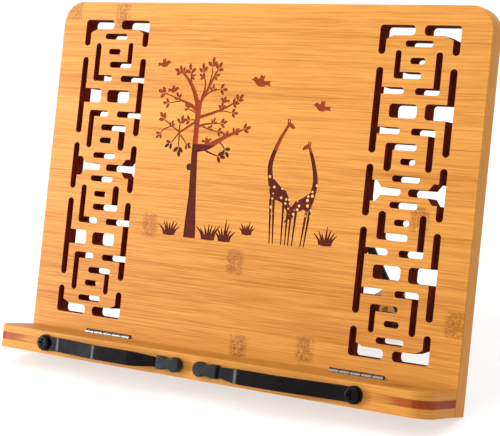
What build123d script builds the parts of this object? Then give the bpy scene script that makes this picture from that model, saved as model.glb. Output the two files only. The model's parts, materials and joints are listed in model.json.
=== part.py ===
from build123d import *
import math
import os

# A folding stand: a leaning board, a tray hinged to its foot, two turning page
# clips, a bent-rod prop and a notched rack that drops over the prop's foot.
# Board axes while building: X right, Y back with the front face at 0, Z up the
# board. The rack is built in the standing axes, with Y = 0 at the board's heel.

# ---- driving sizes, millimetres and degrees ----
lean = 18.0
board_width = 340.0
board_height = 248.0
board_thickness = 12.0
board_corner = 16.0
edge_round = 0.6

tray_depth = 38.0
tray_thickness = 15.5
tray_bottom = 0.2
tray_corner = 13.0
tray_gap = 0.3

panel_side_margin = 49.5
panel_bottom_margin = 27.5
panel_top_margin = 12.7
slot_width = 5.0
fine_slot = 4.3
square_corner = 2.4

leaf_thickness = 1.1
tray_hinge_inset = 70.0
tray_hinge_length = 40.0
tray_leaf_width = 12.0
tray_knuckle = 1.7
tray_pin = 0.8
tray_hinge_rise = 0.4

rack_hinge_x = 44.0
rack_hinge_length = 30.0
rack_leaf_width = 15.0
rack_knuckle = 2.0
rack_pin = 0.9
rack_hinge_lift = 2.2

knuckle_count = 5
knuckle_play = 0.7
run_clearance = 0.05
leaf_play = 0.2

screw_shank = 0.9
screw_head = 1.9
screw_length = 8.0

clip_inset = 48.0
clip_from_middle = 5.2
clip_width = 9.4
clip_neck = 6.4
clip_end = 5.6
clip_thickness = 1.4
clip_play = 0.1
clip_rise = 7.6
clip_flat = 12.0
clip_knee = 49.0
clip_crest_length = 31.0
clip_return = 19.0
clip_bend = 18.0
washer_radius = 5.6
washer_thickness = 1.0
clip_bolt = 2.0
clip_bolt_head = 4.9
clip_bolt_head_height = 2.3
clip_bolt_length = 17.0
tip_length = 18.8
tip_ball = 4.9
tip_waist = 3.6
tip_collar = 4.4
tip_collar_length = 4.5
tip_round = 1.1
tip_thickness = 5.4
tip_gap = 0.3

rod_radius = 3.0
rod_bend = 8.0
prop_half_width = 70.0
prop_length = 131.0
prop_pivot_z = 125.0
prop_pivot_off = 6.0
prop_end = 16.0
bracket_width = 8.0
bracket_eye = 5.2
bracket_half_height = 14.0
bracket_plate = 1.8
bracket_screw_z = 9.8
sleeve_radius = 5.5
sleeve_length = 18.0

rack_height = 17.5
rack_lift = 1.5
rail_inner = 28.0
rail_width = 12.0
rack_bar_half = 62.0
rack_bar_depth = 20.0
rack_heel_gap = 0.8
seam = 0.1
notch_pitch = 21.0
notch_width = 8.5
notch_top = 13.0
notch_back_play = 0.3
tooth_rise = 6.0
notch_count = 5
seated_notch = 2
heel_depth = 5.0
rear_strip_depth = 18.0
dowel_radius = 2.0
dowel_length = 16.0
dowel_rise = 4.2
strip_overhang = 5.5

# ---- places that follow from the sizes ----
lean_rad = math.radians(lean)
sine, cosine = math.sin(lean_rad), math.cos(lean_rad)
tray_top = tray_bottom + tray_thickness
panel_height = board_height - panel_bottom_margin - panel_top_margin
panel_at = Pos(board_width / 2 - panel_side_margin, panel_bottom_margin + panel_height / 2)
row = panel_height / 207.6
tray_hinge_x = board_width / 2 - tray_hinge_inset
clip_x = board_width / 2 - clip_inset
clip_reach = clip_x - clip_from_middle
tip_lift = tip_gap + (tip_thickness - clip_thickness) / 2 - washer_thickness - clip_play
board_place = Pos(0, -board_thickness * cosine, board_thickness * sine) * Rot(-lean, 0, 0)


def stand_yz(y, z):
    """Board-axes y, z turned into the standing axes."""
    return (y * cosine + z * sine - board_thickness * cosine,
            z * cosine - y * sine + board_thickness * sine)


pivot_y, pivot_z = stand_yz(board_thickness + prop_pivot_off, prop_pivot_z)
prop_angle = math.degrees(math.acos((pivot_z - sleeve_radius) / prop_length))
foot_y = pivot_y + prop_length * math.sin(math.radians(prop_angle))
rack_top = rack_lift + rack_height
hinge_z = rack_top + rack_hinge_lift
hinge_back = board_thickness + rack_hinge_lift
hinge_up = (hinge_z - board_thickness * sine + hinge_back * sine) / cosine
hinge_y = stand_yz(hinge_back, hinge_up)[0]
rack_front = hinge_y - rack_hinge_lift - rack_heel_gap + sine
rail_front = rack_front + rack_bar_depth + seam
notch_ys = [foot_y + (i - seated_notch) * notch_pitch for i in range(notch_count)]
notch_back = rod_radius + notch_back_play
notch_front = notch_width - notch_back
rail_end = notch_ys[-1] + notch_back + heel_depth
strip_end = notch_ys[-2] + strip_overhang


# ---- helpers ----
def facing(sketch, y0, y1):
    """A sketch of X and Z carried from y0 back to y1."""
    return extrude(Plane.XZ.offset(-y1) * sketch, y1 - y0)


def sideways(sketch, x0, x1):
    """A sketch of Y and Z carried from x0 to x1."""
    return extrude(Plane.YZ.offset(x0) * sketch, x1 - x0)


def rod_x(radius, x0, x1):
    """A cylinder along X on the axis y = z = 0."""
    return Pos((x0 + x1) / 2, 0, 0) * Rot(0, 90, 0) * Cylinder(radius, x1 - x0)


def rod_y(radius, y0, y1):
    """A cylinder along Y on the axis x = z = 0."""
    return Pos(0, (y0 + y1) / 2, 0) * Rot(90, 0, 0) * Cylinder(radius, y1 - y0)


def block(x0, x1, y0, y1, z0, z1):
    """A box between two corners."""
    return Pos((x0 + x1) / 2, (y0 + y1) / 2, (z0 + z1) / 2) * Box(x1 - x0, y1 - y0, z1 - z0)


def window(x0, x1, z0, z1, corner=None):
    """A flat opening with rounded corners; full round ends by default."""
    z0, z1 = min(z0, z1), max(z0, z1)
    least = min(x1 - x0, z1 - z0)
    radius = 0.47 * least if corner is None else min(corner, 0.47 * least)
    return Pos((x0 + x1) / 2, (z0 + z1) / 2) * RectangleRounded(x1 - x0, z1 - z0, radius)


def wedge(*points):
    """A flat polygon through the given points."""
    return make_face(Polyline(*points, close=True))


def cross_recess(width, depth):
    """The cross in a screw head whose top is at y = 0."""
    arm = width / 4
    bar = block(-width / 2, width / 2, -1, depth, -arm / 2, arm / 2)
    return bar + Rot(0, 90, 0) * bar


def wood_screw(grow=0.0):
    """A countersunk screw driven towards +Y, head flush at y = 0."""
    head, shank = screw_head + grow, screw_shank + grow
    taper = head - shank
    outline = wedge((0, 0), (head, 0), (shank, taper), (shank, screw_length - 2),
                    (0.2, screw_length + grow), (0, screw_length + grow))
    screw = revolve(outline, Axis.Y)
    return screw if grow else screw - cross_recess(1.3 * screw_head, 0.7)


def pan_screw(shank, head, head_height, length, grow=0.0):
    """A pan-head screw driven towards +Y, head seated at y = 0."""
    body = rod_y(shank + grow, -0.01, length + grow)
    if grow:
        return body
    cap = rod_y(head, -head_height, 0)
    cap = fillet(cap.edges().group_by(Axis.Y)[0], 0.55 * head_height)
    return cap + body - Pos(0, -head_height, 0) * cross_recess(1.1 * head, 0.6 * head_height)


# ---- lattice ----
def lattice_cell(outward):
    """The openings of one cell, about its centre; outward is +1 or -1 in Z."""
    shapes = [
        window(-16.5, 3, -4.4, 4.4, square_corner),
        window(8.7, 28.4, -5, 5, square_corner),
        window(-28.5, -28.5 + slot_width, -27 * row, 27 * row),
        window(28.4 - slot_width, 28.4, -27 * row, 27 * row),
    ]
    half = fine_slot / 2
    for side in (1, -1):
        outer = side == outward
        near, bar, tiny, short = (side * row * height for height in (12.5, 22.2, 31.3, 42))
        left = -15.8 if outer else -16.5
        thick = 4.1 if outer else 5.4
        shapes += [
            window(-27, -7.5, near - half, near + half),
            window(0.4, 17.4, near - half, near + half),
            window(17.8 - slot_width, 17.4, near - side * half, side * row * 37),
            window(left, 3.6 if outer else 5.5, bar - half, bar + half),
            window(left, left + thick, bar - side * half, side * row * 37.8),
            window(-5, 5.5, tiny - 2, tiny + 2),
            window(-9.5, 10, short - 2, short + 2),
        ]
    return shapes


def lattice_panel():
    """All openings of one panel, about the panel's centre; inner side is -X."""
    shapes = []
    for side in (1, -1):
        shapes += [Pos(0, side * row * 50.2) * shape for shape in lattice_cell(side)]
        high = side * row * 103.8
        low, foot = high - side * 6.5, side * row * 85.3
        shapes += [
            window(-28.5, -3.5, low, high, 2.6),
            window(-28.5, -28.5 + slot_width, foot, high, 2.4),
            wedge((-24, low + side), (-18.5, low + side * 0.1), (-24, low - side * 2.6)),
            window(3, 28.5, low, high, 2.6),
            window(28.5 - slot_width, 28.5, foot, high, 2.4),
            wedge((24, low + side), (17.5, low + side * 0.1), (24, low - side * 2.8)),
        ]
    for end, neck in ((-28.5, 2.4), (28.4, 2.4)):
        side = math.copysign(1, end)
        root, shoulder, tail = end - side * 4.5, end - side * 8.5, end - side * 12
        shapes += [
            window(min(end, end - side * slot_width), max(end, end - side * slot_width),
                   -16.3 * row, 16.3 * row),
            window(min(root, side * 2.7), max(root, side * 2.7), -neck, neck),
            wedge((root, -6.6), (shoulder, -6.6), (tail, -neck + 0.2), (tail, neck - 0.2),
                  (shoulder, 6.6), (root, 6.6)),
        ]
    return Sketch() + shapes


# ---- hinges ----
def hinge_leaf(length, width, offset, knuckle, pin, odd):
    """One leaf about its pin on X: the plate hangs down at y = offset."""
    step = length / knuckle_count
    plate = block(-length / 2, length / 2, offset, offset + leaf_thickness, -width, 0)
    for i in range(knuckle_count):
        x0 = -length / 2 + i * step
        if (i % 2 == 1) == odd:
            plate += rod_x(knuckle, x0 + knuckle_play / 2, x0 + step - knuckle_play / 2)
        else:
            plate -= rod_x(knuckle + leaf_play, x0 - knuckle_play / 2, x0 + step + knuckle_play / 2)
    return plate - rod_x(pin + run_clearance, -length, length)


def leaf_screw_places(length, width):
    """Three screws in a leaf, in a shallow triangle, as x and z."""
    reach = length / 2 - 5
    return [(-reach, -0.5 * width), (0, -0.68 * width), (reach, -0.5 * width)]


def drilled(leaf, screws):
    """A leaf with its countersunk holes."""
    for place in screws:
        leaf -= place * wood_screw(run_clearance)
    return leaf


def group(shapes):
    """Separate solids kept in one node."""
    return Compound([solid for shape in shapes for solid in shape.solids()])


nodes = {}

# ---- board and tray, in board axes ----
outline = Rectangle(board_width, board_height)
outline = fillet(outline.vertices().group_by(Axis.Y)[-1], board_corner)
board = facing(Pos(0, board_height / 2) * outline, 0, board_thickness)
board_faces = board.faces().sort_by(Axis.Y)
board = fillet(board_faces[0].edges() + board_faces[-1].edges(), edge_round)
panel = panel_at * lattice_panel()
for openings in (panel, mirror(panel, Plane.YZ)):
    board -= facing(openings, -1, board_thickness + 1)

tray_back = -tray_gap
tray = block(-board_width / 2, board_width / 2, -tray_depth, tray_back, tray_bottom, tray_top)
tray = fillet(tray.edges().filter_by(Axis.Z).group_by(Axis.Y)[0], tray_corner)
tray = fillet(tray.faces().sort_by(Axis.Z)[-1].edges().group_by(Axis.Y)[0:2], edge_round)

# ---- tray hinges: leaves let into the board's face and the tray's back ----
tray_axis = (-tray_gap / 2, tray_top + tray_hinge_rise)
tray_board_screws, tray_side_screws = [], []
for label, hand in (("left", -1), ("right", 1)):
    at = Pos(hand * tray_hinge_x, *tray_axis)
    spec = (tray_hinge_length, tray_leaf_width, tray_gap / 2, tray_knuckle, tray_pin)
    back_leaf = at * hinge_leaf(*spec, odd=False)
    front_leaf = at * mirror(hinge_leaf(*spec, odd=True), Plane.XZ)
    places = leaf_screw_places(tray_hinge_length, tray_leaf_width)
    into_board = [at * Pos(x, tray_gap / 2, z) for x, z in places]
    into_tray = [at * Pos(x, -tray_gap / 2, z) * Rot(0, 0, 180) for x, z in places]
    half = tray_hinge_length / 2 + leaf_play
    recess = rod_x(tray_knuckle + 2 * leaf_play, -half, half)
    pocket = block(-half, half, 0, leaf_thickness + tray_gap / 2, -tray_leaf_width - leaf_play, 0)
    board -= at * (recess + pocket)
    tray -= at * (recess + mirror(pocket, Plane.XZ))
    for place in into_board:
        board -= place * wood_screw(run_clearance)
        tray_board_screws.append(place * wood_screw())
    for place in into_tray:
        tray -= place * wood_screw(run_clearance)
        tray_side_screws.append(place * wood_screw())
    nodes[f"tray_hinge_{label}_board_leaf"] = drilled(back_leaf, into_board)
    nodes[f"tray_hinge_{label}_tray_leaf"] = drilled(front_leaf, into_tray)
    nodes[f"tray_hinge_{label}_pin"] = at * rod_x(tray_pin, -half + leaf_play, half - leaf_play)
nodes["tray_hinge_board_screws"] = group(tray_board_screws)
nodes["tray_hinge_tray_screws"] = group(tray_side_screws)

# ---- page clips: built pointing along +X from the bolt, mirrored for the right ----
clip_z = tray_bottom + tray_thickness / 2


def clip_arm():
    """A flat spring arm with a raised crest, from its bolt at x = 0 along +X."""
    crest_end = clip_knee + clip_crest_length
    low_start, tongue_end = crest_end + clip_return, clip_reach - 2
    line = [(-clip_end - 1, 0), (clip_flat, 0), (clip_knee, clip_rise), (crest_end, clip_rise),
            (low_start, tip_lift), (clip_reach + 1, tip_lift)]
    front = [(x, -y - clip_thickness) for x, y in line]
    back = [(x, -y) for x, y in line]
    strip = make_face(Polyline(*front, *reversed(back), close=True))
    strip = fillet([v for v in strip.vertices() if -clip_end < v.X < clip_reach], clip_bend)
    half, neck = clip_width / 2, clip_neck / 2
    shape = Circle(clip_end) + wedge((0, -half), (crest_end + 2, -half), (low_start - 2, -neck),
                                     (tongue_end, -neck), (tongue_end, neck),
                                     (low_start - 2, neck), (crest_end + 2, half), (0, half))
    arm = extrude(strip, clip_width * 2, both=True) & facing(shape, -20, 20)
    return arm - rod_y(clip_bolt + run_clearance, -20, 20)


def clip_tip():
    """The rubber end of an arm, a flattened bulb with the arm's tongue inside."""
    x0, ball_x = clip_reach - tip_length, clip_reach - tip_ball
    shoulder, waist_x = x0 + tip_collar_length, ball_x - 1.15 * tip_ball
    outline = Pos(ball_x, 0) * Circle(tip_ball) + wedge(
        (x0, -tip_collar), (shoulder, -tip_collar), (waist_x, -tip_waist), (ball_x, -tip_waist),
        (ball_x, tip_waist), (waist_x, tip_waist), (shoulder, tip_collar), (x0, tip_collar))
    middle = -tip_lift - clip_thickness / 2
    body = facing(outline, middle - tip_thickness / 2, middle + tip_thickness / 2)
    rims = body.faces().sort_by(Axis.Y)
    return fillet(rims[0].edges() + rims[-1].edges(), tip_round)


arm_y = -tray_depth - washer_thickness - clip_play
arm, tip = clip_arm(), clip_tip()
tip -= arm
bolt_hole = pan_screw(clip_bolt, clip_bolt_head, clip_bolt_head_height, clip_bolt_length, run_clearance)
for label, hand in (("left", -1), ("right", 1)):
    at = Pos(hand * clip_x, arm_y, clip_z)
    seat = Pos(hand * clip_x, arm_y - clip_thickness - clip_play, clip_z)
    turn = (lambda s: s) if hand < 0 else (lambda s: mirror(s, Plane.YZ))
    nodes[f"clip_{label}_arm"] = at * turn(arm)
    nodes[f"clip_{label}_tip"] = at * turn(tip)
    nodes[f"clip_{label}_bolt"] = seat * pan_screw(
        clip_bolt, clip_bolt_head, clip_bolt_head_height, clip_bolt_length)
    washer = rod_y(washer_radius, -washer_thickness, 0) - rod_y(clip_bolt + run_clearance, -5, 5)
    nodes[f"clip_{label}_washer"] = Pos(hand * clip_x, -tray_depth, clip_z) * washer
    tray -= seat * bolt_hole

# ---- prop brackets on the board's back ----
bracket_at = bracket_width / 2 + prop_half_width + rod_bend
bracket_screws = []
for label, hand in (("left", -1), ("right", 1)):
    at = Pos(hand * bracket_at, board_thickness, prop_pivot_z)
    half = bracket_width / 2
    foot = block(-half, half, 0, bracket_plate, -bracket_half_height, bracket_half_height)
    foot = fillet(foot.edges().filter_by(Axis.Y), 2.5)
    eye = Pos(0, prop_pivot_off, 0) * rod_x(bracket_eye, -half, half)
    eye += block(-half, half, 0, prop_pivot_off, -bracket_eye, bracket_eye)
    bracket = foot + eye
    bracket -= Pos(0, prop_pivot_off, 0) * rod_x(rod_radius + run_clearance, -bracket_width, bracket_width)
    for end in (-1, 1):
        spot = Pos(0, bracket_plate, end * bracket_screw_z) * Rot(0, 0, 180)
        bracket -= spot * pan_screw(screw_shank, screw_head, 1.2, screw_length, run_clearance)
        board -= at * spot * pan_screw(screw_shank, screw_head, 1.2, screw_length, run_clearance)
        bracket_screws.append(at * spot * pan_screw(screw_shank, screw_head, 1.2, screw_length))
    nodes[f"prop_bracket_{label}"] = at * bracket
nodes["prop_bracket_screws"] = group(bracket_screws)

# ---- rack hinges, board side: leaves on the board's back ----
rack_board_screws = []
rack_spec = (rack_hinge_length, rack_leaf_width, rack_hinge_lift - leaf_thickness, rack_knuckle, rack_pin)
rack_places = leaf_screw_places(rack_hinge_length, rack_leaf_width)
for label, hand in (("left", -1), ("right", 1)):
    at = Pos(hand * rack_hinge_x, hinge_back, hinge_up) * Rot(180, 0, 0)
    spots = [at * Pos(x, rack_hinge_lift - leaf_thickness, z) for x, z in rack_places]
    for spot in spots:
        board -= spot * wood_screw(run_clearance)
        rack_board_screws.append(spot * wood_screw())
    nodes[f"rack_hinge_{label}_board_leaf"] = drilled(at * hinge_leaf(*rack_spec, odd=False), spots)
    nodes[f"rack_hinge_{label}_pin"] = at * rod_x(rack_pin, -rack_hinge_length / 2, rack_hinge_length / 2)
nodes["rack_hinge_board_screws"] = group(rack_board_screws)

nodes["back_board"] = board
nodes["tray"] = tray
nodes = {name: board_place * shape for name, shape in nodes.items()}

# ---- prop, in the standing axes ----
half = prop_half_width
path = FilletPolyline((-half - prop_end, 0, 0), (-half, 0, 0), (-half, 0, -prop_length),
                      (half, 0, -prop_length), (half, 0, 0), (half + prop_end, 0, 0), radius=rod_bend)
rod = sweep(Plane(origin=path @ 0, z_dir=path % 0) * Circle(rod_radius), path)
prop_place = Pos(0, pivot_y, pivot_z) * Rot(prop_angle, 0, 0)
nodes["prop_rod"] = prop_place * rod
for label, hand in (("left", -1), ("right", 1)):
    x1 = hand * (half - rod_bend - sleeve_length / 2)
    sleeve = rod_x(sleeve_radius, -sleeve_length / 2, sleeve_length / 2)
    sleeve = fillet(sleeve.edges().filter_by(GeomType.CIRCLE), 1.2)
    sleeve -= rod_x(rod_radius, -sleeve_length, sleeve_length)
    nodes[f"prop_sleeve_{label}"] = prop_place * Pos(x1, 0, -prop_length) * sleeve

# ---- rack, in the standing axes ----
front_bar = block(-rack_bar_half, rack_bar_half, rack_front, rack_front + rack_bar_depth, rack_lift, rack_top)
front_bar = fillet(front_bar.edges().filter_by(Axis.Z), 2)
rail_side = Pos((rail_front + rail_end) / 2, (rack_lift + rack_top) / 2) * Rectangle(
    rail_end - rail_front, rack_height)
rail_side += Pos(rail_end - heel_depth / 2, rack_height / 2) * Rectangle(heel_depth, rack_height)
for y in notch_ys:
    throat, lip = y - notch_front, y + notch_back
    rail_side -= Pos((throat + lip) / 2, notch_top / 2 - 2) * RectangleRounded(notch_width, notch_top + 4, 2)
    rail_side -= wedge((lip - notch_pitch, 0), (lip - notch_pitch, rack_lift),
                       (throat + 0.1, rack_lift + tooth_rise), (throat + 0.1, 0))
strip_middle = strip_end - rear_strip_depth / 2
strip_floor = notch_top + 0.2
rear_strip = block(-rail_inner + seam, rail_inner - seam, strip_middle - rear_strip_depth / 2,
                   strip_middle + rear_strip_depth / 2, strip_floor, rack_top)
dowel = Rot(0, 0, 90) * rod_x(dowel_radius, -dowel_length / 2, dowel_length / 2)
dowel_hole = Rot(0, 0, 90) * rod_x(dowel_radius + run_clearance, -dowel_length / 2 - 0.5, dowel_length / 2 + 0.5)
cross_peg = rod_x(dowel_radius - 0.4, -dowel_length / 2, dowel_length / 2)
cross_hole = rod_x(dowel_radius - 0.4 + run_clearance, -dowel_length / 2 - 0.5, dowel_length / 2 + 0.5)
dowels, rack_side_screws = [], []
for label, hand in (("left", -1), ("right", 1)):
    x0, x1 = sorted((hand * rail_inner, hand * (rail_inner + rail_width)))
    rail = sideways(rail_side, x0, x1)
    for rise in (-dowel_rise, dowel_rise):
        at = Pos((x0 + x1) / 2, rail_front - seam / 2, rack_lift + rack_height / 2 + rise)
        dowels.append(at * dowel)
        rail -= at * dowel_hole
        front_bar -= at * dowel_hole
    at = Pos(hand * rail_inner, strip_middle, (strip_floor + rack_top) / 2)
    dowels.append(at * cross_peg)
    rail -= at * cross_hole
    rear_strip -= at * cross_hole
    nodes[f"rack_rail_{label}"] = rail
    at = Pos(hand * rack_hinge_x, hinge_y, hinge_z)
    leaf = at * Rot(90, 0, 0) * mirror(hinge_leaf(*rack_spec, odd=True), Plane.XZ)
    spots = [at * Pos(x, -z, leaf_thickness - rack_hinge_lift) * Rot(-90, 0, 0) for x, z in rack_places]
    for spot in spots:
        front_bar -= spot * wood_screw(run_clearance)
        rack_side_screws.append(spot * wood_screw())
    nodes[f"rack_hinge_{label}_rack_leaf"] = drilled(leaf, spots)
nodes["rack_front_bar"] = front_bar
nodes["rack_rear_strip"] = rear_strip
nodes["rack_dowels"] = group(dowels)
nodes["rack_hinge_rack_screws"] = group(rack_side_screws)

# ---- everything moved so that the origin is under the middle of the whole stand ----
boxes = [shape.bounding_box() for shape in nodes.values()]
front_y, back_y = min(box.min.Y for box in boxes), max(box.max.Y for box in boxes)
floor_z = min(box.min.Z for box in boxes)
to_origin = Pos(0, -(front_y + back_y) / 2, -floor_z)
nodes = {name: to_origin * shape for name, shape in nodes.items()}

os.makedirs("parts", exist_ok=True)
for name, shape in nodes.items():
    export_step(shape, f"parts/{name}.step")


def report(joint, y, z, x=0.0):
    """Print a joint's point in metres, from the final origin."""
    spot = to_origin * Pos(x, y, z)
    print(joint, [round(value / 1000, 6) for value in spot.position])


report("tray_fold", *stand_yz(*tray_axis))
report("clip_left", *stand_yz(-tray_depth, clip_z), x=-clip_x)
report("clip_right", *stand_yz(-tray_depth, clip_z), x=clip_x)
report("prop_swing", pivot_y, pivot_z)
report("rack_fold", hinge_y, hinge_z)
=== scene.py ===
import json
import math
import random

import bmesh
import bpy
from mathutils import Euler, Matrix, Vector


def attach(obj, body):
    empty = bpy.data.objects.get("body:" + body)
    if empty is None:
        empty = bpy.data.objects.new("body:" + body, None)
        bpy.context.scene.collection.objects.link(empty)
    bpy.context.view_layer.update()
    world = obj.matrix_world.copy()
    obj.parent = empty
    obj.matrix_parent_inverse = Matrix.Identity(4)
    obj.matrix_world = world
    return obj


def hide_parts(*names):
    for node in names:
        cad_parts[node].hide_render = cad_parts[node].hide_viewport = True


bl_info = {
    "name": "Folding Bamboo Stand",
    "version": (1, 0, 0),
    "blender": (4, 5, 0),
    "location": "3D View > Sidebar > Stand",
    "description": "Builds the finish of a folding bamboo book and album stand around its frame",
    "category": "Object",
}

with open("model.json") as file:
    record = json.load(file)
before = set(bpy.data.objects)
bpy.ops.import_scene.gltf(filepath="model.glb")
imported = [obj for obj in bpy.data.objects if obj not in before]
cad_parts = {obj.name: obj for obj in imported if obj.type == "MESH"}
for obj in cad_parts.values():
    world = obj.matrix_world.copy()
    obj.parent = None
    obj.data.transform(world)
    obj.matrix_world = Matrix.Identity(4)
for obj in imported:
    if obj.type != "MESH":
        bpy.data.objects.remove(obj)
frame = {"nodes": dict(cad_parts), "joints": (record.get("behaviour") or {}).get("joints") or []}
MM = 0.001
WELD = 2e-6  # points closer than this are one
EDGE_STRIP = 0.006  # the board's rim that stays unburnt round the fretwork
OVERCUT = 0.6 * MM  # how far the motif's cutter stands proud of the board
JOINT_SPAN = 0.33  # spacing of a cane's joints along a strip
JOINT_LONG, JOINT_TALL = 0.0085, 0.0095  # half sizes of the flecked patch at a joint
# across and up the board, in metres, where its cane joints show
BOARD_JOINTS = [(-0.0739, 0.0946), (-0.0004, 0.0765), (0.0604, 0.0267), (0.1638, 0.0548), (-0.1605, 0.2434),
                (-0.1164, 0.2388), (0.1332, 0.1152), (0.0092, 0.0215)]

# ---- the board's own axes, read from the frame ----
LEAN_OUT = Vector(next(j["axis"] for j in frame["joints"] if j["name"] == "clip_right_turn")).normalized()
ACROSS = Vector((1, 0, 0))
UP_BOARD = LEAN_OUT.cross(ACROSS).normalized()
BOARD_POINTS = [v.co.copy() for v in frame["nodes"]["back_board"].data.vertices]
FACE_OUT = max(p.dot(LEAN_OUT) for p in BOARD_POINTS)
FOOT_UP = min(p.dot(UP_BOARD) for p in BOARD_POINTS)
BOARD_TOP = max(p.dot(UP_BOARD) for p in BOARD_POINTS) - FOOT_UP
HALF_WIDTH = max(p.x for p in BOARD_POINTS)
BOARD_THICKNESS = FACE_OUT - min(p.dot(LEAN_OUT) for p in BOARD_POINTS)
TRAY_POINTS = [v.co.copy() for v in frame["nodes"]["tray"].data.vertices]
TRAY_TOP = max(p.dot(UP_BOARD) for p in TRAY_POINTS) - FOOT_UP
TRAY_BOTTOM = min(p.dot(UP_BOARD) for p in TRAY_POINTS) - FOOT_UP


def on_board(x, up, out=0.0):
    """A point x across and up the board, and out from its front face, in metres."""
    return ACROSS * x + UP_BOARD * (FOOT_UP + up) + LEAN_OUT * (FACE_OUT + out)


# ---- shader expressions ----
class Sock:
    """A node socket, or a number, that Python's operators turn into Math nodes."""

    def __init__(self, tree, socket):
        self.tree, self.socket = tree, socket

    def _math(self, operation, *values):
        node = self.tree.nodes.new("ShaderNodeMath")
        node.operation = operation
        for slot, value in zip(node.inputs, values):
            link(self.tree, slot, value)
        return Sock(self.tree, node.outputs[0])

    def __add__(self, other):
        return self._math("ADD", self, other)

    def __radd__(self, other):
        return self._math("ADD", other, self)

    def __sub__(self, other):
        return self._math("SUBTRACT", self, other)

    def __rsub__(self, other):
        return self._math("SUBTRACT", other, self)

    def __mul__(self, other):
        return self._math("MULTIPLY", self, other)

    def __rmul__(self, other):
        return self._math("MULTIPLY", other, self)

    def __truediv__(self, other):
        return self._math("DIVIDE", self, other)

    def __gt__(self, other):
        return self._math("GREATER_THAN", self, other)

    def __abs__(self):
        return self._math("ABSOLUTE", self)

    def floor(self):
        return self._math("FLOOR", self)

    def fract(self):
        return self._math("FRACT", self)

    def most(self, other):
        return self._math("MAXIMUM", self, other)

    def ease(self, low, high):
        """0 below low, 1 above high, and smooth between them."""
        node = self.tree.nodes.new("ShaderNodeMapRange")
        node.interpolation_type = "SMOOTHSTEP"
        for slot, value in zip(node.inputs, (self, low, high, 0.0, 1.0)):
            link(self.tree, slot, value)
        return Sock(self.tree, node.outputs[0])


def link(tree, slot, value):
    """Feed a slot with a wrapped socket, or set it to a plain value."""
    if isinstance(value, Sock):
        tree.links.new(value.socket, slot)
    elif isinstance(value, Vector):
        slot.default_value = tuple(value)
    else:
        slot.default_value = value


class Finish:
    """One material being made: its tree, its surface shader and its nodes."""

    def __init__(self, name, **constants):
        self.material = bpy.data.materials.new(name)
        self.material.use_nodes = True
        self.tree = self.material.node_tree
        self.shader = self.tree.nodes["Principled BSDF"]
        for socket, value in constants.items():
            self.shader.inputs[socket.replace("_", " ")].default_value = value

    def node(self, kind, settings=None, output=0, **inputs):
        """Add a node: its settings first, then its inputs by name; returns one output."""
        node = self.tree.nodes.new(kind)
        for key, value in (settings or {}).items():
            setattr(node, key, value)
        for key, value in inputs.items():
            link(self.tree, node.inputs[key.replace("_", " ")], value)
        return Sock(self.tree, node.outputs[output])

    def place(self):
        """The piece's own coordinates, which stay with it when it moves."""
        return self.node("ShaderNodeTexCoord", output="Object")

    def facing(self):
        """The true normal in the piece's own axes."""
        true_normal = self.node("ShaderNodeNewGeometry", output="True Normal")
        return self.node("ShaderNodeVectorTransform",
                         {"vector_type": "NORMAL", "convert_from": "WORLD", "convert_to": "OBJECT"},
                         Vector=true_normal)

    def along(self, vector, direction):
        """How far a vector reaches along a direction."""
        node = self.tree.nodes.new("ShaderNodeVectorMath")
        node.operation = "DOT_PRODUCT"
        link(self.tree, node.inputs[0], vector)
        link(self.tree, node.inputs[1], Vector(direction))
        return Sock(self.tree, node.outputs["Value"])

    def vector(self, x, y, z):
        node = self.tree.nodes.new("ShaderNodeCombineXYZ")
        for slot, value in zip(node.inputs, (x, y, z)):
            link(self.tree, slot, value)
        return Sock(self.tree, node.outputs[0])

    def noise(self, vector, scale=1.0, detail=3.0, rough=0.5):
        return self.node("ShaderNodeTexNoise", Vector=vector, Scale=scale, Detail=detail, Roughness=rough)

    def chance(self, value):
        """A fixed random number, 0 to 1, for each whole value."""
        return self.node("ShaderNodeTexWhiteNoise", {"noise_dimensions": "1D"}, W=value)

    def mix(self, factor, first, second, blend="MIX"):
        """Mix two colours."""
        node = self.tree.nodes.new("ShaderNodeMix")
        node.data_type, node.blend_type = "RGBA", blend
        link(self.tree, node.inputs[0], factor)
        for slot, value in ((node.inputs[6], first), (node.inputs[7], second)):
            link(self.tree, slot, value if isinstance(value, Sock) else (*value, 1.0))
        return Sock(self.tree, node.outputs[2])

    def finish(self, colour=None, roughness=None, height=None, distance=0.0001, strength=1.0):
        """Join what varies to the shader."""
        if colour is not None:
            link(self.tree, self.shader.inputs["Base Color"],
                 colour if isinstance(colour, Sock) else (*colour, 1.0))
        if roughness is not None:
            link(self.tree, self.shader.inputs["Roughness"], roughness)
        if height is not None:
            bump = self.node("ShaderNodeBump", Height=height, Distance=distance, Strength=strength)
            link(self.tree, self.shader.inputs["Normal"], bump)
        return self.material


def srgb(red, green, blue):
    """A colour given as 0 to 255 on screen, as linear light."""
    return tuple(((c / 255 + 0.055) / 1.055) ** 2.4 if c > 10 else c / 255 / 12.92
                 for c in (red, green, blue))


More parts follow.
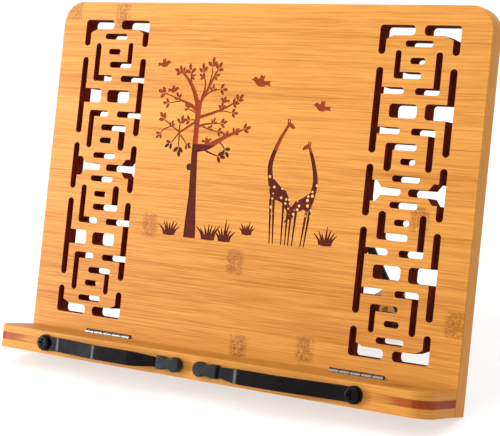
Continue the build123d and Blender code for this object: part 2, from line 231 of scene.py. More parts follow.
# ---- sizes and colours that a user may change ----
class BambooSettings(bpy.types.PropertyGroup):
    light: bpy.props.FloatVectorProperty(
        name="Light Strip", description="Colour of the palest strips", subtype="COLOR", size=3,
        default=(0.53, 0.230, 0.042))
    deep: bpy.props.FloatVectorProperty(
        name="Deep Strip", description="Colour of the darkest strips and fibres", subtype="COLOR", size=3,
        default=(0.33, 0.106, 0.0105))
    core: bpy.props.FloatVectorProperty(
        name="Core End Grain", description="Colour of the middle ply where its ends show", subtype="COLOR",
        size=3, default=srgb(112, 40, 10))
    joint: bpy.props.FloatVectorProperty(
        name="Cane Joint", description="Colour of the dark flecks where a cane was jointed", subtype="COLOR",
        size=3, default=(0.20, 0.056, 0.005))
    strip: bpy.props.FloatProperty(
        name="Strip Width", description="Width of one bamboo strip", default=0.0185, min=0.005, unit="LENGTH")
    lacquer: bpy.props.FloatProperty(
        name="Lacquer Roughness", description="How matt the clear lacquer is", default=0.46, min=0.05,
        max=1.0)


class EngravingSettings(bpy.types.PropertyGroup):
    depth: bpy.props.FloatProperty(
        name="Depth", description="How deep the motif is burnt into the board", default=0.00035,
        min=0.0001, max=0.001, unit="LENGTH")
    char: bpy.props.FloatVectorProperty(
        name="Char", description="Colour of the deepest burn", subtype="COLOR", size=3,
        default=srgb(62, 8, 3))
    bare: bpy.props.FloatVectorProperty(
        name="Bare Spot", description="Colour of the wood left standing in the animals' coats",
        subtype="COLOR", size=3, default=(0.74, 0.40, 0.13))
    wall: bpy.props.FloatVectorProperty(
        name="Cut Edge", description="Colour of the browned fretwork edges", subtype="COLOR", size=3,
        default=srgb(66, 5, 0))
    scorch: bpy.props.FloatVectorProperty(
        name="Scorch", description="Colour of the lighter burn", subtype="COLOR", size=3,
        default=srgb(112, 34, 10))


class MetalSettings(bpy.types.PropertyGroup):
    black: bpy.props.FloatVectorProperty(
        name="Black Lacquer", description="Colour of the lacquered steel", subtype="COLOR", size=3,
        default=(0.0045, 0.0035, 0.0035))
    plate: bpy.props.FloatVectorProperty(
        name="Plating", description="Colour of the plated hinges and screws", subtype="COLOR", size=3,
        default=(0.20, 0.195, 0.19))
    edge: bpy.props.FloatProperty(
        name="Edge Round", description="Rounding of the clips' long edges", default=0.00035, min=0.0,
        unit="LENGTH")


class StageSettings(bpy.types.PropertyGroup):
    lens: bpy.props.FloatProperty(
        name="Lens", description="Focal length of the camera, mm", default=113.628, min=20.0)
    sky: bpy.props.FloatProperty(
        name="Fill", description="Strength of the even white light", default=1.0, min=0.0)
    key: bpy.props.FloatProperty(
        name="Key", description="Power of the large soft light, W", default=5.5, min=0.0)


# ---- finishes ----
def board_coordinates(f):
    """Across, up and out of the board, in metres, of the point being shaded."""
    p = f.place()
    return f.along(p, ACROSS), f.along(p, UP_BOARD) - FOOT_UP, f.along(p, LEAN_OUT) - FACE_OUT


def bamboo_grain(f, along, across, through, seed, strip, joints):
    """Colour mask 0 to 1 (pale to deep), fibre height and joint mask of strips laid side by side."""
    row = across / strip + seed * 0.37
    number = row.floor()
    tone = f.chance(number + seed)
    shift = f.chance(number + seed + 31.7)
    cloud = f.noise(f.vector(along * 5.0 + shift * 9.0, across * 60.0, through * 20.0 + seed), 1.0, 2.0)
    band = f.noise(f.vector(along * 6.0 + shift * 4.0, across * 260.0, through * 60.0 + seed), 1.0, 2.0)
    streak = f.noise(f.vector(along * 8.0 + shift * 20.0, across * 800.0, through * 160.0 + seed),
                     1.0, 4.0, 0.65)
    fibre = f.noise(f.vector(along * 34.0 + shift * 50.0, across * 2200.0, through * 900.0), 1.0, 2.0, 0.6)
    dash = f.noise(f.vector(along * 520.0, across * 1500.0, seed), 1.0, 2.0, 0.6).ease(0.44, 0.56)
    if joints is None:
        # a joint of the cane, once in a while along each strip
        step = (along + shift * JOINT_SPAN) / JOINT_SPAN
        from_joint = abs((step.fract() - 0.5) * JOINT_SPAN)
        shows = f.chance(number + step.floor() * 7.3 + seed) > 0.5
        patch = (1.0 - from_joint.ease(0.003, 0.0075)) * shows
    else:
        patch = 0.0
        for at, level in joints:
            beside = 1.0 - abs(along - at).ease(JOINT_LONG - 0.005, JOINT_LONG)
            from_level = abs(across - (FOOT_UP + level))
            patch = beside * (1.0 - from_level.ease(JOINT_TALL - 0.003, JOINT_TALL)) + patch
    ragged = f.noise(f.vector(along * 300.0, across * 260.0, seed + 4.0), 1.0, 2.0).ease(0.32, 0.5)
    joint = patch * ragged * (dash * 0.82 + 0.18)
    # a thin glue line between strips
    seam = abs(row.fract() - 0.5).ease(0.478, 0.5)
    deep = (cloud - 0.5) * 0.8 + (band - 0.5) * 0.5 + (streak - 0.5) * 1.9 + (fibre - 0.5) * 2.0
    deep = deep + (tone - 0.5) * 0.3 + 0.34
    deep = deep + joint * 0.5 + seam * 0.16
    return deep, fibre * 0.6 + streak * 0.4 - seam * 0.3 - joint * 0.3, joint


CORE_START, CORE_END = 0.368, 0.683  # the middle ply, as shares of the sheet's thickness
PLY_EDGE = 0.0075  # softness of a ply's border, as a share of the thickness


def bamboo(name, seed, along=ACROSS, across=UP_BOARD, through=LEAN_OUT, plies=None, joints=None,
           dark_ends=False, tint=1.0, painted_top_light=0.0):
    """Laminated bamboo under a clear lacquer.

    plies is (direction, start, thickness) of a three-ply sheet; joints lists where the cane's joints show;
    the last argument paints the strips paler toward the top and deeper toward the foot: painted light and
    shade.
    """
    s = bpy.context.scene.stand_bamboo
    f = Finish(name, Coat_Weight=0.02, Coat_Roughness=0.25, Specular_IOR_Level=0.1)
    p = f.place()
    n = f.facing()
    a, c, t = (f.along(p, d) for d in (along, across, through))
    deep, height, joint = bamboo_grain(f, a, c, t, seed, s.strip, joints)
    # painted light and shade: the strips are painted paler toward the top of the board and deeper toward its
    # foot, standing in for the light falling on the top
    if painted_top_light:
        deep = deep - (c - (FOOT_UP + BOARD_TOP / 2)) * painted_top_light
    colour = f.mix(deep, tuple(v * tint for v in s.light), tuple(v * tint for v in s.deep))
    colour = f.mix(joint * 0.72, colour, s.joint)
    if plies is not None:
        # the narrow edges show straight fibres of each ply, and the end grain of the middle one
        direction, start, thickness = plies
        edge_fibre = f.noise(f.vector(a * 26.0, t * 1900.0, c * 30.0 + seed), 1.0, 3.0, 0.6)
        wobble = (f.noise(f.vector(a * 14.0, c * 14.0, seed), 1.0, 1.0) - 0.5) * 0.0006
        depth = f.along(p, direction) - start + wobble
        first, last = (depth.ease(thickness * (share - PLY_EDGE), thickness * (share + PLY_EDGE))
                       for share in (CORE_START, CORE_END))
        middle = first * (1.0 - last)
        side = 1.0 - abs(f.along(n, direction)).ease(0.35, 0.75)
        band = f.mix((edge_fibre - 0.5) * 2.0 + 0.3, s.light, s.deep)
        colour = f.mix(side, colour, band)
        pores = f.noise(f.vector(a * 900.0, c * 900.0, t * 1500.0), 1.0, 2.0, 0.7)
        if dark_ends:
            ends = abs(f.along(n, along)).ease(0.02, 0.3)
            reach = (abs(a) + (edge_fibre - 0.5) * 0.03).ease(HALF_WIDTH - 0.034, HALF_WIDTH - 0.016)
            end_colour = f.mix(pores.ease(0.35, 0.7), s.core, tuple(v * 1.9 for v in s.core))
            core_front = f.mix((edge_fibre - 0.5) * 1.8 + 0.62, s.light, s.deep)
            core_colour = f.mix(ends.most(reach * 0.8), core_front, end_colour)
        else:
            core_colour = f.mix((pores - 0.5) * 1.2 + 0.3, s.light, s.deep)
        colour = f.mix(side * middle, colour, core_colour)
        glue = 1.0 - abs(depth - thickness * CORE_START).ease(0.00005, 0.00028)
        glue = glue.most(1.0 - abs(depth - thickness * CORE_END).ease(0.00005, 0.00028))
        colour = f.mix(glue * side * 0.4, colour, s.core)
    return f.finish(colour, s.lacquer + (height - 0.5) * 0.16, height, 0.00006, 0.55)


def scorched_finish():
    """The cut edges of the fretwork, browned by the laser."""
    s = bpy.context.scene.stand_engraving
    f = Finish("scorched_edge", Specular_IOR_Level=0.05)
    x, up, out = board_coordinates(f)
    grain = f.noise(f.vector(x * 60.0, up * 60.0, out * 2200.0), 1.0, 3.0, 0.6)
    return f.finish(f.mix(grain.ease(0.3, 0.75), s.wall, srgb(128, 40, 8)), 0.9, grain, 0.00005, 0.4)


BURN_LINE = 0.152  # height up the board above which the burn is lighter
COAT_ACROSS = (0.012, 0.062)  # where the animals' spotted coats lie, across and up the board
COAT_UP = (0.112, 0.132)


def engraved_finish():
    """The floor of the burnt motif, darker in its lower half, with pale fibres left standing."""
    s = bpy.context.scene.stand_engraving
    f = Finish("engraved_burn", Specular_IOR_Level=0.12)
    x, up, _ = board_coordinates(f)
    fibre = f.noise(f.vector(x * 60.0, up * 1500.0, 0.0), 1.0, 3.0, 0.6)
    strong = 1.0 - up.ease(BURN_LINE - 0.0005, BURN_LINE + 0.0005)
    soft = f.noise(f.vector(x * 70.0, up * 70.0, 3.0), 1.0, 2.0)
    char = f.mix(fibre.ease(0.35, 0.8) * 0.5, s.char, s.scorch)
    scorch = f.mix(fibre.ease(0.3, 0.75) * 0.6 + soft * 0.25, s.scorch, srgb(140, 56, 18))
    colour = f.mix(strong, scorch, char)
    cells = f.node("ShaderNodeTexVoronoi", Vector=f.vector(x * 300.0, up * 300.0, 0.5), Scale=1.0,
                   Randomness=0.5)
    spots = 1.0 - cells.ease(0.26, 0.36)
    beside = x.ease(COAT_ACROSS[0] - 0.002, COAT_ACROSS[0]) * (
        1.0 - x.ease(COAT_ACROSS[1], COAT_ACROSS[1] + 0.002))
    animals = beside * up.ease(COAT_UP[0] - 0.003, COAT_UP[0]) * (
        1.0 - up.ease(COAT_UP[1], COAT_UP[1] + 0.008))
    colour = f.mix(spots * animals * strong * 0.9, colour, s.bare)
    return f.finish(colour, 0.72 + (fibre - 0.5) * 0.2, fibre, 0.00004, 0.5)


def black_lacquer():
    """Gloss black lacquer with a slight orange peel."""
    s = bpy.context.scene.stand_metal
    f = Finish("black_lacquer", Specular_IOR_Level=0.07)
    p = f.place()
    peel = f.noise(p, 900.0, 2.0)
    dust = f.noise(p, 160.0, 3.0, 0.6)
    colour = f.mix(dust.ease(0.45, 0.8) * 0.5, s.black, tuple(v * 2.2 for v in s.black))
    return f.finish(colour, 0.2 + (dust - 0.5) * 0.1, peel, 0.00003, 0.12)


def plated_steel():
    """Bright plated sheet and screws, with rubbed marks."""
    s = bpy.context.scene.stand_metal
    f = Finish("plated_steel")
    f.shader.inputs["Metallic"].default_value = 1.0
    p = f.place()
    rub = f.noise(f.vector(f.along(p, ACROSS) * 2600.0, f.along(p, UP_BOARD) * 220.0, 0.0), 1.0, 3.0, 0.6)
    spot = f.noise(p, 240.0, 3.0)
    colour = f.mix(spot.ease(0.5, 0.8) * 0.5, s.plate, tuple(v * 0.5 for v in s.plate))
    return f.finish(colour, 0.24 + rub * 0.22, rub, 0.00002, 0.3)


def soft_rubber():
    """Matt black rubber with a fine pebble."""
    f = Finish("soft_rubber", Specular_IOR_Level=0.12)
    p = f.place()
    pebble = f.noise(p, 1400.0, 2.0, 0.6)
    bloom = f.noise(p, 130.0, 3.0, 0.6)
    colour = f.mix(bloom.ease(0.4, 0.8), (0.010, 0.010, 0.011), (0.026, 0.026, 0.027))
    return f.finish(colour, 0.33 + (bloom - 0.5) * 0.16, pebble, 0.00003, 0.25)


FINISHES = {}


def finishes():
    """Every material of the stand, made once and kept by name."""
    if not FINISHES:
        back, rise = Vector((0, 1, 0)), Vector((0, 0, 1))
        board_plies = (LEAN_OUT, FACE_OUT - BOARD_THICKNESS, BOARD_THICKNESS)
        tray_plies = (UP_BOARD, FOOT_UP + TRAY_BOTTOM, TRAY_TOP - TRAY_BOTTOM)
        # the board's strips get a painted light gradient, paler toward its top and deeper toward its foot
        FINISHES["board"] = bamboo("bamboo_board", 3.0, plies=board_plies, joints=BOARD_JOINTS, painted_top_light=0.9)
        FINISHES["tray"] = bamboo("bamboo_tray", 11.0, across=LEAN_OUT, through=UP_BOARD, plies=tray_plies,
                                  dark_ends=True, tint=0.94)
        FINISHES["rail"] = bamboo("bamboo_rail", 23.0, along=back, across=rise, through=ACROSS)
        FINISHES["bar"] = bamboo("bamboo_bar", 37.0, across=back, through=rise)
        FINISHES["burn"] = engraved_finish()
        FINISHES["scorch"] = scorched_finish()
        FINISHES["black"] = black_lacquer()
        FINISHES["plate"] = plated_steel()
        FINISHES["rubber"] = soft_rubber()
    return FINISHES


# ---- meshes ----
def new_piece(name, bm, material, smooth_angle=None):
    """A mesh object from a bmesh, with one material."""
    mesh = bpy.data.meshes.new(name)
    bmesh.ops.recalc_face_normals(bm, faces=bm.faces)
    bm.to_mesh(mesh)
    bm.free()
    mesh.materials.append(material)
    piece = bpy.data.objects.new(name, mesh)
    bpy.context.scene.collection.objects.link(piece)
    if smooth_angle is not None:
        mesh.shade_smooth()
        mesh.set_sharp_from_angle(angle=math.radians(smooth_angle))
    return piece


def welded_copy(node):
    """A CAD node's mesh with its seams joined and its flat triangles merged."""
    bm = bmesh.new()
    bm.from_mesh(frame["nodes"][node].data)
    bmesh.ops.remove_doubles(bm, verts=bm.verts, dist=WELD)
    bmesh.ops.dissolve_limit(bm, angle_limit=math.radians(0.5), verts=bm.verts, edges=bm.edges)
    return bm


def apply_modifiers(piece):
    """Keep the result of the piece's modifiers as its mesh."""
    graph = bpy.context.evaluated_depsgraph_get()
    mesh = bpy.data.meshes.new_from_object(piece.evaluated_get(graph))
    old = piece.data
    piece.modifiers.clear()
    piece.data = mesh
    bpy.data.meshes.remove(old)


CREASE = math.radians(38)  # edges sharper than this are eased and stay sharp in shading


def softened(node, piece_name, material, body, width, segments=2):
    """A copy of a CAD node with its sharp edges eased, in that node's place."""
    piece = new_piece(piece_name, welded_copy(node), material)
    bevel = piece.modifiers.new("ease", "BEVEL")
    bevel.width, bevel.segments = width, segments
    bevel.limit_method, bevel.angle_limit = "ANGLE", CREASE
    bevel.use_clamp_overlap = True
    bevel.harden_normals = True
    bpy.context.view_layer.update()
    apply_modifiers(piece)
    piece.data.shade_smooth()
    piece.data.set_sharp_from_angle(angle=CREASE)
    even = piece.modifiers.new("even", "WEIGHTED_NORMAL")
    even.keep_sharp, even.weight = True, 100
    bpy.context.view_layer.update()
    apply_modifiers(piece)
    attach(piece, body)
    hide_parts(node)
    return piece


# ---- the motif burnt into the board, drawn in millimetres across and up the board ----
def ribbon(points, start, end):
    """The outline of a tapering curved stroke through the points."""
    path = []
    for i in range(len(points) - 1):
        p0 = Vector(points[max(i - 1, 0)])
        p1, p2 = Vector(points[i]), Vector(points[i + 1])
        p3 = Vector(points[min(i + 2, len(points) - 1)])
        for k in range(5):
            t = k / 5
            path.append(0.5 * (2 * p1 + (p2 - p0) * t + (2 * p0 - 5 * p1 + 4 * p2 - p3) * t * t
                               + (3 * p1 - p0 - 3 * p2 + p3) * t ** 3))
    path.append(Vector(points[-1]))
    left, right = [], []
    for i, p in enumerate(path):
        way = (path[min(i + 1, len(path) - 1)] - path[max(i - 1, 0)]).normalized()
        half = (start + (end - start) * i / (len(path) - 1)) / 2
        side = Vector((-way.y, way.x)) * half
        left.append(p + side)
        right.append(p - side)
    return left + right[::-1]


def oval(x, up, length, width, turn, count=14, point=0.0):
    """An ellipse, drawn to a point at one end when point is above 0."""
    shape = []
    for i in range(count):
        a = math.tau * i / count
        u, v = math.cos(a) * length / 2, math.sin(a) * width / 2
        v *= 1 - point * max(0.0, math.cos(a)) ** 2
        shape.append(Vector((x + u * math.cos(turn) - v * math.sin(turn),
                             up + u * math.sin(turn) + v * math.cos(turn))))
    return shape


def leaf_spray(x, up, turn, size, rng):
    """A twig's end: one leaf ahead and a pair beside it."""
    shapes = []
    for spread, reach in ((0.0, 1.75), (0.9, 1.1), (-0.9, 1.1)):
        a = turn + spread + rng.uniform(-0.16, 0.16)
        far = size * reach * 0.9
        tip_x, tip_up = x + math.cos(a) * far, up + math.sin(a) * far
        shapes.append(oval(tip_x, tip_up, size * 1.7, size * 0.92, a, point=0.35))
    return shapes


TRUNK = [(-44.6, 89), (-44.4, 100), (-43.6, 118), (-44.2, 132), (-44.8, 146), (-44.8, 160), (-44.9, 172),
         (-45.6, 181), (-40.2, 183), (-40.6, 174), (-40.8, 162), (-40.2, 150), (-39.4, 140), (-38.2, 124),
         (-36.6, 108), (-35.2, 96), (-34.8, 89)]
# each branch: its points, width at the root, width at the tip, and sprays (share along it, turn, size)
BRANCHES = [
    ([(-42, 149.5), (-31, 151.5), (-18, 158.5), (-4, 164)], 6.0, 0.9,
     [(1.0, 0.4, 2.5), (0.82, 0.9, 2.2), (0.66, 1.3, 1.9)]),
    ([(-37, 150), (-30, 147), (-23, 145.2)], 1.5, 0.8, [(1.0, -0.1, 2.7)]),
    ([(-24, 155.5), (-20, 152.5), (-18, 150)], 1.3, 0.7, [(1.0, -0.9, 2.7)]),
    ([(-41, 170.5), (-30, 174), (-20, 178), (-11, 183)], 2.4, 0.8,
     [(1.0, 0.9, 2.5), (0.55, 1.5, 2.2), (0.86, 0.2, 2.2)]),
    ([(-29, 174.5), (-22, 175.5), (-15, 174.5)], 1.1, 0.6, [(1.0, 0.1, 2.2)]),
    ([(-41, 164.5), (-33, 166.5), (-23, 167)], 1.8, 0.7, [(1.0, 0.2, 2.3), (0.68, 1.2, 1.8)]),
    ([(-38, 164.5), (-32, 162.5), (-25, 161.5)], 1.2, 0.6, [(1.0, 0.0, 2.1), (0.5, 1.0, 1.6)]),
    ([(-42, 180), (-37, 189), (-33, 197), (-30, 203)], 2.6, 0.8, [(1.0, 1.0, 2.6), (0.75, 0.2, 2.0)]),
    ([(-41, 183), (-39, 192), (-41.5, 201)], 1.8, 0.7, [(1.0, 1.7, 2.6), (0.8, 2.6, 2.0)]),
    ([(-36, 192), (-34.5, 199), (-34.5, 205)], 1.3, 0.6, [(1.0, 1.6, 2.7)]),
    ([(-39, 184.5), (-34, 188), (-26, 190)], 1.5, 0.6, [(1.0, 0.1, 2.5), (0.6, 1.4, 2.0)]),
    ([(-43.5, 178), (-48.5, 189), (-55, 197), (-60, 200.5)], 4.0, 0.9, [(1.0, 2.7, 2.6), (0.9, 1.4, 2.0)]),
    ([(-49.5, 190.5), (-51.5, 196), (-52, 200)], 1.4, 0.7, [(1.0, 1.7, 2.8), (0.6, 0.6, 1.8)]),
    ([(-43.5, 175), (-51, 179), (-60, 182)], 3.4, 1.0, [(1.0, 2.0, 2.2)]),
    ([(-57, 181), (-65, 183.5), (-72, 185.5)], 1.2, 0.7, [(1.0, 2.9, 2.8)]),
    ([(-57, 181), (-63, 180), (-68, 179)], 1.1, 0.6, [(1.0, 3.3, 2.3)]),
    ([(-43.5, 167.5), (-50, 163.5), (-56.5, 159.5)], 1.9, 1.3, []),
    ([(-56.5, 159.5), (-64, 163.5), (-70.5, 167.5)], 1.3, 0.7, [(1.0, 2.4, 2.7), (0.5, 1.4, 1.7)]),
    ([(-56.5, 159.5), (-56.6, 154), (-56.4, 149.5)], 1.3, 0.7, [(1.0, -1.5, 2.9)]),
    ([(-56.5, 159.5), (-60, 155.5), (-63, 152)], 1.1, 0.7, [(1.0, -2.6, 2.5)]),
    ([(-55.5, 157.5), (-52, 154), (-50, 151.5)], 1.1, 0.7, [(1.0, -0.6, 2.0)]),
    ([(-56.5, 159.5), (-57.2, 163), (-56.6, 165.5)], 1.2, 0.7, [(1.0, 1.3, 2.5)]),
    ([(-64, 163.5), (-70, 161), (-73, 158)], 1.0, 0.6, [(1.0, -2.2, 2.1)]),
    ([(-44, 173), (-48, 174.5), (-51, 175.5)], 1.1, 0.6, [(1.0, 2.4, 2.0)]),
    ([(-44, 168), (-47, 168.5), (-49, 168)], 0.9, 0.6, [(1.0, 3.2, 2.3)]),
]
# across, up, size and the side it faces of each bird
BIRDS = [(-75.0, 205.5, 6.5, 1), (5.5, 195.5, 8.5, -1), (54.5, 181.0, 7.5, -1), (-65.0, 188.0, 5.5, 1),
         (-33.0, 154.6, 4.6, 1), (-22.0, 182.5, 4.6, -1)]
# across, up, width and height of each tuft of grass
TUFTS = [(-57.0, 89.5, 15, 9), (-24.0, 89.0, 17, 11), (-11.0, 89.0, 15, 11), (6.5, 95.0, 11, 7),
         (67.5, 93.5, 15, 9)]


def bird(x, up, size, hand):
    """A plump resting bird: body, head, beak, tail and a raised wing."""
    beak = ((0.62, 0.32), (0.9, 0.2), (0.62, 0.14))
    tail = ((-0.3, 0.12), (-0.95, 0.16), (-0.86, -0.05), (-1.0, -0.24), (-0.35, -0.16))
    wing = ((0.22, 0.15), (-0.02, 0.66), (-0.16, 0.5), (-0.34, 0.6), (-0.3, 0.05))
    shapes = [oval(x, up, size * 1.05, size * 0.62, 0.25 * hand),
              oval(x + hand * size * 0.48, up + size * 0.24, size * 0.42, size * 0.40, 0.0, 10)]
    for part in (beak, tail, wing):
        shapes.append([Vector((x + hand * size * k, up + size * v)) for k, v in part])
    return shapes


def tuft(x, up, width, height, rng):
    """A tuft of curved blades that fan out from its root."""
    shapes = [oval(x, up + 0.7, width * 0.66, 1.9, 0.0)]
    for i in range(7):
        lean = -1 + 2 * i / 6 + rng.uniform(-0.1, 0.1)
        tall = height * (1.2 - 0.42 * abs(lean) + rng.uniform(-0.26, 0.18))
        root = x + lean * width * 0.24
        shapes.append(ribbon([(root, up + 0.4), (root + lean * width * 0.1, up + tall * 0.5),
                              (root + lean * width * 0.34, up + tall)], 2.7, 0.3))
    return shapes


def grazer(x, up, height, hand, bow):
    """A long-necked spotted animal, standing, its neck bowed outward and its head turned in."""
    h = height
    def at(across, rise):
        return (x + hand * across, up + rise * h)
    neck = ribbon([at(0.6, 0.44), at(-bow * 0.45, 0.62), at(bow * 0.35, 0.80), at(bow * 1.55, 0.95)],
                  4.6, 1.8)
    body = [Vector(at(*p)) for p in (
        (-1.6, 0.50), (1.6, 0.52), (6.0, 0.475), (12.0, 0.43), (15.2, 0.36), (16.6, 0.25), (13.8, 0.27),
        (10.0, 0.335), (5.5, 0.355), (0.4, 0.36), (-1.2, 0.42))]
    nod = math.radians(-32 if hand > 0 else 32 + 180)
    head = oval(*at(bow * 1.55 + 2.2, 0.945), 6.6, 3.0, nod, point=0.4)
    shapes = [neck, body, head]
    for horn in (-0.6, 0.9):
        shapes.append(ribbon([at(bow * 1.55 + horn, 0.955), at(bow * 1.55 + horn - 0.3, 1.0)], 0.9, 0.7))
    for hip, foot in ((0.2, 2.6), (2.6, 5.2), (10.6, 11.6), (14.4, 14.6)):
        shapes.append(ribbon([at(hip, 0.38), at((hip + foot) / 2, 0.2), at(foot, 0.012)], 2.2, 0.7))
    shapes.append(ribbon([at(16.0, 0.30), at(17.8, 0.245), at(19.0, 0.235)], 0.9, 1.6))
    return shapes


def motif():
    """Every outline of the motif."""
    rng = random.Random(7)
    shapes = [[Vector(p) for p in TRUNK], oval(-45.6, 136.5, 4.6, 5.0, 0.0)]
    for points, start, end, sprays in BRANCHES:
        shapes.append(ribbon(points, start, end))
        for share, turn, size in sprays:
            place = share * (len(points) - 1)
            i = min(int(place), len(points) - 2)
            root = Vector(points[i]).lerp(Vector(points[i + 1]), place - i)
            shapes += leaf_spray(root.x, root.y, turn, size, rng)
    for item in BIRDS:
        shapes += bird(*item)
    for item in TUFTS:
        shapes += tuft(*item, rng)
    shapes += grazer(22.4, 90.0, 83.0, 1, 5.6)
    shapes += grazer(54.0, 90.0, 69.0, -1, 3.6)
    return shapes


class STAND_OT_board(bpy.types.Operator):
    """Make the leaning board, with the tree and animals burnt into its face"""
    bl_idname = "stand.board"
    bl_label = "Engraved Board"

    def execute(self, context):
        made = finishes()
        depth = context.scene.stand_engraving.depth
        bm = bmesh.new()
        bm.from_mesh(frame["nodes"]["back_board"].data)
        bmesh.ops.remove_doubles(bm, verts=bm.verts, dist=WELD)
        board = new_piece("engraved_board", bm, made["board"])
        board.data.materials.append(made["burn"])
        cutter_mesh = bmesh.new()
        for outline in motif():
            ring = [cutter_mesh.verts.new(on_board(p.x * MM, p.y * MM, -depth)) for p in outline]
            face = cutter_mesh.faces.new(ring)
            lifted = bmesh.ops.extrude_face_region(cutter_mesh, geom=[face])["geom"]
            moved = [v for v in lifted if isinstance(v, bmesh.types.BMVert)]
            bmesh.ops.translate(cutter_mesh, verts=moved, vec=LEAN_OUT * (depth + OVERCUT))
        cutter = new_piece("motif_cutter", cutter_mesh, made["burn"])
        cut = board.modifiers.new("burn", "BOOLEAN")
        cut.operation, cut.solver, cut.object = "DIFFERENCE", "EXACT", cutter
        cut.use_self = True
        cut.material_mode = "TRANSFER"
        context.view_layer.update()
        apply_modifiers(board)
        bpy.data.objects.remove(cutter)
        burnt = sum(1 for face in board.data.polygons
                    if board.data.materials[face.material_index].name.startswith("engraved_burn"))
        if burnt < 50:
            raise RuntimeError("the motif did not cut the board")
        board.data.materials.append(made["scorch"])
        for face in board.data.polygons:
            up = face.center.dot(UP_BOARD) - FOOT_UP
            within = (abs(face.center.x) < HALF_WIDTH - EDGE_STRIP
                      and TRAY_TOP < up < BOARD_TOP - EDGE_STRIP)
            if within and face.material_index == 0 and abs(face.normal.dot(LEAN_OUT)) < 0.5:
                face.material_index = len(board.data.materials) - 1
        board.data.shade_smooth()
        board.data.set_sharp_from_angle(angle=math.radians(30))
        for face in board.data.polygons:
            face.use_smooth = abs(face.normal.dot(LEAN_OUT)) < 0.999
        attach(board, "board")
        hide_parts("back_board")
        return {"FINISHED"}


class STAND_OT_tray(bpy.types.Operator):
    """Make the tray with its long edges eased by hand sanding"""
    bl_idname = "stand.tray"
    bl_label = "Tray"

    def execute(self, context):
        softened("tray", "sanded_tray", finishes()["tray"], "tray", 0.9 * MM, 3)
        return {"FINISHED"}


class STAND_OT_rack(bpy.types.Operator):
    """Make the notched rack: two rails, the front bar, the rear strip and the dowels"""
    bl_idname = "stand.rack"
    bl_label = "Rack"

    def execute(self, context):
        made = finishes()
        for side in ("left", "right"):
            softened(f"rack_rail_{side}", f"sanded_rail_{side}", made["rail"], "rack",
                     0.5 * MM)
        softened("rack_front_bar", "sanded_front_bar", made["bar"], "rack", 0.5 * MM)
        softened("rack_rear_strip", "sanded_rear_strip", made["bar"], "rack", 0.4 * MM)
        paint_node("rack_dowels", made["bar"])
        return {"FINISHED"}


def paint_node(node, material):
    """Give a CAD node its finish."""
    data = frame["nodes"][node].data
    data.materials.clear()
    data.materials.append(material)


class STAND_OT_clips(bpy.types.Operator):
    """Make the two turning page clips, with their rubber ends, bolts and washers"""
    bl_idname = "stand.clips"
    bl_label = "Page Clips"

    def execute(self, context):
        made = finishes()
        edge = context.scene.stand_metal.edge
        for side in ("left", "right"):
            clip = f"clip_{side}"
            softened(f"{clip}_arm", f"spring_arm_{side}", made["black"], clip, edge)
            softened(f"{clip}_tip", f"rubber_end_{side}", made["rubber"], clip, 0.3 * MM)
            softened(f"{clip}_bolt", f"pan_bolt_{side}", made["black"], "tray", 0.12 * MM)
            softened(f"{clip}_washer", f"flat_washer_{side}", made["black"], "tray", 0.15 * MM)
        return {"FINISHED"}


class STAND_OT_hinges(bpy.types.Operator):
    """Finish the tray and rack hinges with their pins and screws"""
    bl_idname = "stand.hinges"
    bl_label = "Hinges"

    def execute(self, context):
        made = finishes()
        for node in frame["nodes"]:
            if "hinge" in node:
                paint_node(node, made["plate"])
        return {"FINISHED"}


class STAND_OT_prop(bpy.types.Operator):
    """Finish the bent-rod prop, its rubber sleeves and its two brackets"""
    bl_idname = "stand.prop"
    bl_label = "Prop"

    def execute(self, context):
        made = finishes()
        paint_node("prop_rod", made["black"])
        frame["nodes"]["prop_rod"].data.shade_smooth()
        for side in ("left", "right"):
            softened(f"prop_sleeve_{side}", f"foot_sleeve_{side}", made["rubber"], "prop",
                     0.2 * MM)
            softened(f"prop_bracket_{side}", f"saddle_bracket_{side}", made["black"], "board",
                     0.3 * MM)
        paint_node("prop_bracket_screws", made["plate"])
        return {"FINISHED"}


FLOOR_RADIUS = 9.0
# each light: name, place, width, height and share of the key's power
LIGHTS = (("key_light", (-0.1, -0.62, 1.05), 0.6, 0.6, 1.0),
          ("strip_light", (-0.98, -0.80, 0.36), 0.2, 0.8, 3.0),
          ("back_light", (0.4, 1.3, 1.1), 0.9, 0.9, 1.2))
LIGHTS_AIM = Vector((0, 0, 0.1))
CAMERA_PLACE = on_board(0.5915, 0.1030, 0.8540)
CAMERA_TURN = (76.3488, 4.2801, 34.3245)
CAMERA_SHIFT = (-0.0112, -0.0556)


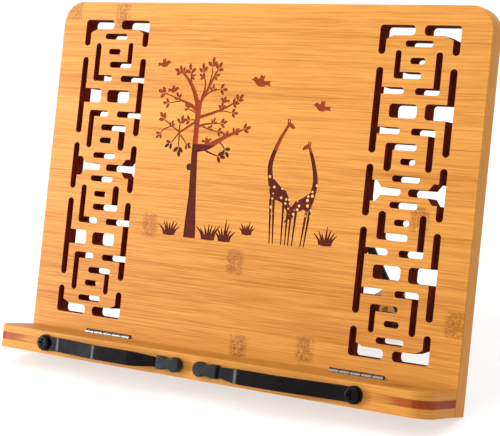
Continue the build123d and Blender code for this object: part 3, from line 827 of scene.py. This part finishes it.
class STAND_OT_stage(bpy.types.Operator):
    """Lay the pale floor, which glows as painted light, hang the soft lights and set the camera"""
    bl_idname = "stand.stage"
    bl_label = "Floor, Lights and Camera"

    def execute(self, context):
        scene = context.scene
        s = scene.stand_stage
        bm = bmesh.new()
        bmesh.ops.create_circle(bm, cap_ends=True, segments=96, radius=FLOOR_RADIUS)
        # the floor glows with its own emission though it is no lamp: painted light that keeps it white and
        # lifts the shadow under the stand
        glowing_paper = Finish("glowing_studio_paper", Specular_IOR_Level=0.05, Emission_Strength=0.58,
                       Emission_Color=(1.0, 1.0, 1.0, 1.0))
        tooth = glowing_paper.noise(glowing_paper.place(), 40.0, 2.0)
        material = glowing_paper.finish(glowing_paper.mix(tooth, (0.38, 0.38, 0.38), (0.41, 0.41, 0.41)), 0.9)
        floor = new_piece("studio_floor", bm, material)
        floor.location.z = -0.0002

        world = bpy.data.worlds.new("studio")
        scene.world = world
        world.use_nodes = True
        world.node_tree.nodes["Background"].inputs["Color"].default_value = (1, 1, 1, 1)
        world.node_tree.nodes["Background"].inputs["Strength"].default_value = s.sky
        for name, place, wide, tall, share in LIGHTS:
            lamp = bpy.data.lights.new(name, "AREA")
            lamp.shape, lamp.size, lamp.size_y = "RECTANGLE", wide, tall
            lamp.energy = s.key * share
            holder = bpy.data.objects.new(name, lamp)
            holder.location = place
            aim = LIGHTS_AIM - Vector(place)
            holder.rotation_euler = aim.to_track_quat("-Z", "Y").to_euler()
            scene.collection.objects.link(holder)

        data = bpy.data.cameras.new("camera")
        data.sensor_width = 36.0
        data.lens = s.lens
        data.shift_x, data.shift_y = CAMERA_SHIFT
        data.clip_end = 50.0
        camera = bpy.data.objects.new("camera", data)
        camera.location = CAMERA_PLACE
        camera.rotation_euler = Euler([math.radians(v) for v in CAMERA_TURN], "XYZ")
        scene.collection.objects.link(camera)
        scene.camera = camera
        scene.view_settings.view_transform = "Standard"
        return {"FINISHED"}


class STAND_PT_panel(bpy.types.Panel):
    """Every step of the stand, in the sidebar"""
    bl_idname = "STAND_PT_panel"
    bl_label = "Folding Stand"
    bl_space_type = "VIEW_3D"
    bl_region_type = "UI"
    bl_category = "Stand"

    def draw(self, context):
        for group in (context.scene.stand_bamboo, context.scene.stand_engraving, context.scene.stand_metal,
                      context.scene.stand_stage):
            box = self.layout.box()
            for key in group.__annotations__:
                box.prop(group, key)
        for step in STEPS:
            self.layout.operator(step.bl_idname)


STEPS = (STAND_OT_board, STAND_OT_tray, STAND_OT_clips, STAND_OT_hinges, STAND_OT_prop, STAND_OT_rack,
         STAND_OT_stage)
GROUPS = (("stand_bamboo", BambooSettings), ("stand_engraving", EngravingSettings),
          ("stand_metal", MetalSettings), ("stand_stage", StageSettings))


def register():
    for name, group in GROUPS:
        bpy.utils.register_class(group)
        setattr(bpy.types.Scene, name, bpy.props.PointerProperty(type=group))
    for step in STEPS:
        bpy.utils.register_class(step)
    bpy.utils.register_class(STAND_PT_panel)


def unregister():
    bpy.utils.unregister_class(STAND_PT_panel)
    for step in reversed(STEPS):
        bpy.utils.unregister_class(step)
    for name, group in reversed(GROUPS):
        delattr(bpy.types.Scene, name)
        bpy.utils.unregister_class(group)


def main():
    register()
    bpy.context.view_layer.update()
    for step in STEPS:
        area, name = step.bl_idname.split(".")
        getattr(getattr(bpy.ops, area), name)()


if __name__ == "__main__":
    main()
